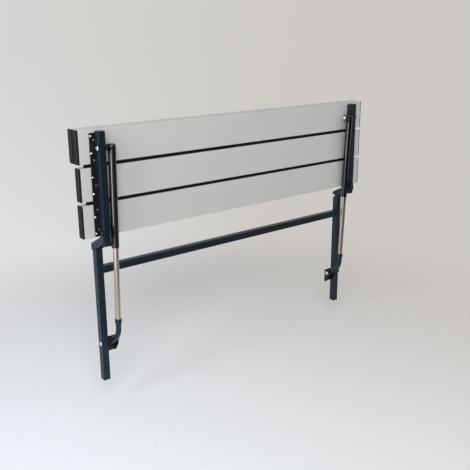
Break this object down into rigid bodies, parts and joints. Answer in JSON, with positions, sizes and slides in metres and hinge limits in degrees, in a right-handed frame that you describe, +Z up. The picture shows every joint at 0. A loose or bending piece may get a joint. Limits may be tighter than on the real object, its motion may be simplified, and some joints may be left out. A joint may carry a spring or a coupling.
{
  "type": "wall-mounted folding table",
  "caption": "Wall-mounted folding table: a slatted leaf on hinged arms folds up flat against the wall and swings down, steadied by telescopic struts with bent feet.",
  "frame": {"origin": "centre of the rectangle of wall fixing holes, on the wall plane", "axes": "+X along the wall to the right as seen from the room, +Y into the wall, so the room is at -Y, +Z up"},
  "size_m": [1.684, 0.1368, 1.143],
  "materials": {
    "frame_coat": "satin dark grey coating",
    "slat_grey": "matt light grey hollow profile",
    "cap_plastic": "ribbed dark end cap",
    "black_plastic": "black moulded plastic",
    "nylon": "dark bush",
    "bolt_steel": "bright stainless fastener",
    "rivet_steel": "dull rivet",
    "rod_steel": "polished stainless tube"
  },
  "bodies": {
    "wall_frame": {"left_upright": "frame_coat", "right_upright": "frame_coat", "crossbar": "frame_coat", "upright_plugs": "black_plastic", "left_strut_bracket": "frame_coat", "right_strut_bracket": "frame_coat", "strut_foot_bolts": "bolt_steel", "strut_foot_washers": "black_plastic", "strut_foot_spacers": "nylon", "hinge_bolts": "bolt_steel", "hinge_caps": "black_plastic", "hinge_washers": "nylon", "wall_rail": "slat_grey", "wall_rail_caps": "cap_plastic"},
    "table_leaf": {"outer_slat": "slat_grey", "middle_slat": "slat_grey", "inner_slat": "slat_grey", "left_slat_caps": "cap_plastic", "right_slat_caps": "cap_plastic", "joint_strips": "black_plastic", "left_arm": "frame_coat", "right_arm": "frame_coat", "arm_plugs": "black_plastic", "left_flange": "frame_coat", "right_flange": "frame_coat", "flange_screws": "bolt_steel", "flange_rivets": "rivet_steel", "left_hinge_bracket": "frame_coat", "right_hinge_bracket": "frame_coat", "bracket_bolts": "bolt_steel", "strut_head_bolts": "bolt_steel", "strut_head_washers": "black_plastic", "strut_head_spacers": "nylon"},
    "left_sleeve": {"left_sleeve_tube": "frame_coat", "left_sleeve_eye": "black_plastic"},
    "left_rod": {"left_rod_tube": "rod_steel", "left_rod_plug": "black_plastic", "left_elbow": "frame_coat", "left_elbow_screw": "bolt_steel"},
    "left_knob": {"left_wing_knob": "black_plastic"},
    "right_sleeve": {"right_sleeve_tube": "frame_coat", "right_sleeve_eye": "black_plastic"},
    "right_rod": {"right_rod_tube": "rod_steel", "right_rod_plug": "black_plastic", "right_elbow": "frame_coat", "right_elbow_screw": "bolt_steel"},
    "right_knob": {"right_wing_knob": "black_plastic"}
  },
  "joints": [
    {"name": "leaf_fold", "type": "hinge", "parent": "wall_frame", "child": "table_leaf", "pos_m": [0, -0.016, 0.313], "axis": [1, 0, 0], "range_deg": [0, 90]},
    {"name": "left_rod_swing", "type": "hinge", "parent": "wall_frame", "child": "left_rod", "pos_m": [-0.71, -0.024, -0.135], "axis": [1, 0, 0], "range_deg": [0, 45]},
    {"name": "left_sleeve_swing", "type": "hinge", "parent": "table_leaf", "child": "left_sleeve", "pos_m": [-0.71, -0.103, 0.753], "axis": [1, 0, 0], "range_deg": [-47, 0]},
    {"name": "left_knob_turn", "type": "hinge", "parent": "table_leaf", "child": "left_knob", "pos_m": [-0.743, -0.1155, 0.388], "axis": [0, 1, 0], "range_deg": [-180, 180]},
    {"name": "right_rod_swing", "type": "hinge", "parent": "wall_frame", "child": "right_rod", "pos_m": [0.71, -0.024, -0.135], "axis": [1, 0, 0], "range_deg": [0, 45]},
    {"name": "right_sleeve_swing", "type": "hinge", "parent": "table_leaf", "child": "right_sleeve", "pos_m": [0.71, -0.103, 0.753], "axis": [1, 0, 0], "range_deg": [-47, 0]},
    {"name": "right_knob_turn", "type": "hinge", "parent": "table_leaf", "child": "right_knob", "pos_m": [0.743, -0.1155, 0.388], "axis": [0, 1, 0], "range_deg": [-180, 180]}
  ],
  "couplings": [
    {"joint": "left_rod_swing", "follows": "leaf_fold", "ratio": 0.483},
    {"joint": "left_sleeve_swing", "follows": "leaf_fold", "ratio": -0.517},
    {"joint": "right_rod_swing", "follows": "leaf_fold", "ratio": 0.483},
    {"joint": "right_sleeve_swing", "follows": "leaf_fold", "ratio": -0.517}
  ]
}
